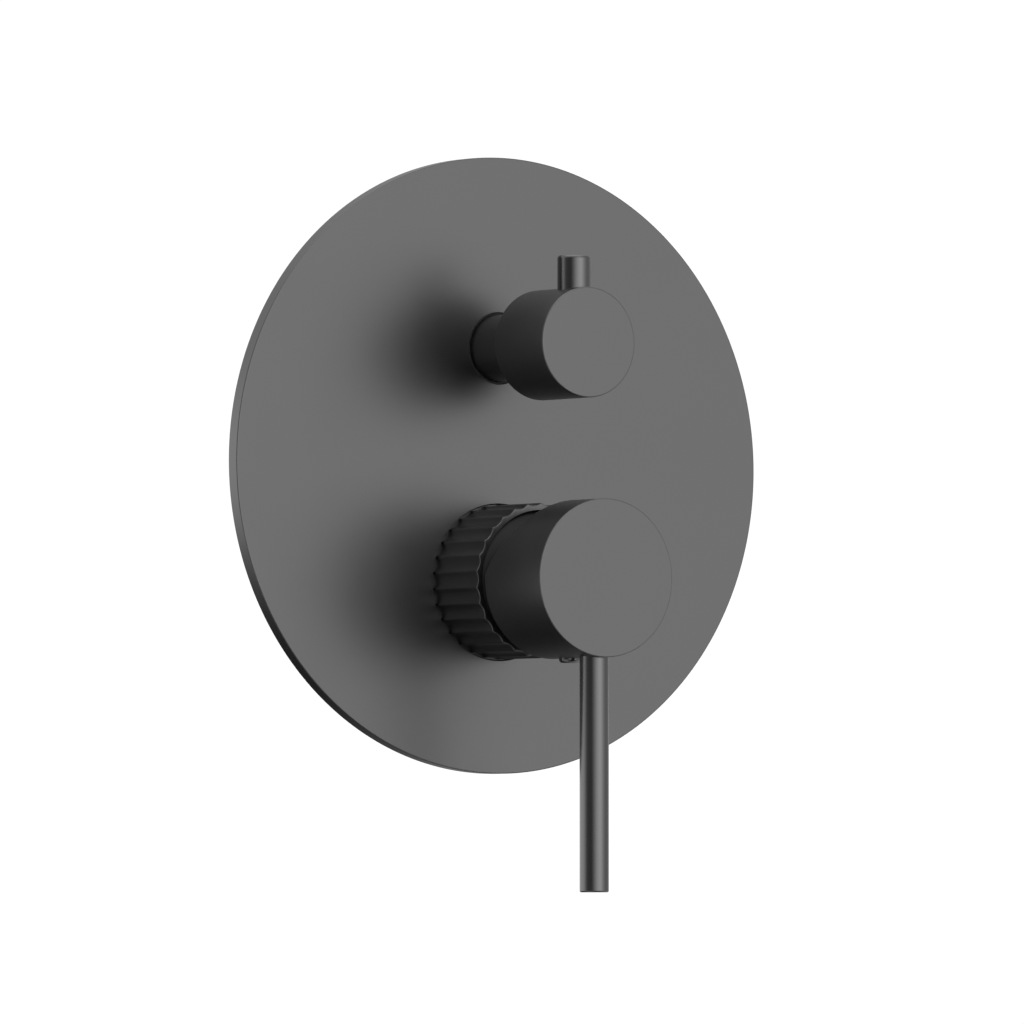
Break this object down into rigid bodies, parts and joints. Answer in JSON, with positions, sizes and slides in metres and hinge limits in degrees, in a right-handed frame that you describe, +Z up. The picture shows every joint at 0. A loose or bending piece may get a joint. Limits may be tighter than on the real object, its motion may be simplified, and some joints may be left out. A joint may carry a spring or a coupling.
{
  "type": "concealed shower mixer",
  "caption": "Round concealed shower mixer with a fluted sleeve, a tilting handle cap with a hanging pin lever, a diverter knob and an in-wall brass body.",
  "frame": {"origin": "centre of the round plate's back face, on the finished wall", "axes": "+Z up, the front faces -Y, +Y runs into the wall"},
  "size_m": [0.18, 0.1158, 0.2146],
  "materials": {
    "gunmetal": "satin gunmetal, coated brass and stainless steel",
    "cover_gunmetal": "satin gunmetal, turned brass",
    "brass": "machined and cast brass",
    "steel": "zinc plated and stainless steel",
    "rubber": "black nitrile rubber",
    "fibre": "red fibre sealing washer",
    "ceramic": "lapped alumina ceramic",
    "cartridge_plastic": "moulded white acetal",
    "guide_plastic": "moulded dark acetal",
    "foam": "closed-cell sealing foam",
    "valve_plastic": "moulded blue acetal"
  },
  "bodies": {
    "root": {"wall_plate": "gunmetal", "fluted_sleeve": "gunmetal", "diverter_collar": "gunmetal", "cartridge_cover": "cover_gunmetal", "valve_body": "brass", "hot_inlet_union": "brass", "cold_inlet_union": "brass", "upper_outlet_union": "brass", "side_outlet_union": "brass", "cartridge_nut": "brass", "diverter_headwork": "brass", "mounting_bracket": "steel", "bracket_screws": "steel", "sleeve_o_ring": "rubber", "collar_seal": "rubber", "cartridge_base_seals": "rubber", "spindle_seal": "rubber", "diverter_seat_seal": "rubber", "hot_inlet_washer": "fibre", "cold_inlet_washer": "fibre", "upper_outlet_washer": "fibre", "side_outlet_washer": "fibre", "fixed_disc": "ceramic", "diverter_fixed_disc": "ceramic", "cartridge_housing": "cartridge_plastic", "cartridge_base": "cartridge_plastic", "plate_gasket": "foam", "hot_check_valve": "valve_plastic", "cold_check_valve": "valve_plastic"},
    "guide": {"rotary_guide": "guide_plastic", "pivot_pin": "steel"},
    "handle": {"lever_stem": "steel", "handle_cap": "gunmetal", "pin_lever": "gunmetal", "handle_grub_screw": "steel", "index_button": "gunmetal"},
    "disc": {"disc_carrier": "cartridge_plastic", "moving_disc": "ceramic"},
    "knob": {"diverter_knob": "gunmetal", "diverter_pin": "gunmetal", "knob_grub_screw": "steel", "diverter_spindle": "brass", "diverter_moving_disc": "ceramic"}
  },
  "joints": [
    {"name": "temperature_swivel", "type": "hinge", "parent": "root", "child": "guide", "pos_m": [0, -0.021, -0.0341], "axis": [0, 1, 0], "range_deg": [-45, 45]},
    {"name": "lever_tilt", "type": "hinge", "parent": "guide", "child": "handle", "pos_m": [0, -0.021, -0.0341], "axis": [-1, 0, 0], "range_deg": [0, 25]},
    {"name": "disc_slide", "type": "slide", "parent": "guide", "child": "disc", "axis": [0, 0, -1], "range_m": [0, 0.0049]},
    {"name": "diverter_turn", "type": "hinge", "parent": "root", "child": "knob", "pos_m": [0, -0.03, 0.0342], "axis": [0, 1, 0], "range_deg": [0, 90]}
  ],
  "couplings": [
    {"joint": "disc_slide", "follows": "lever_tilt", "m_per_rad": 0.01115}
  ]
}
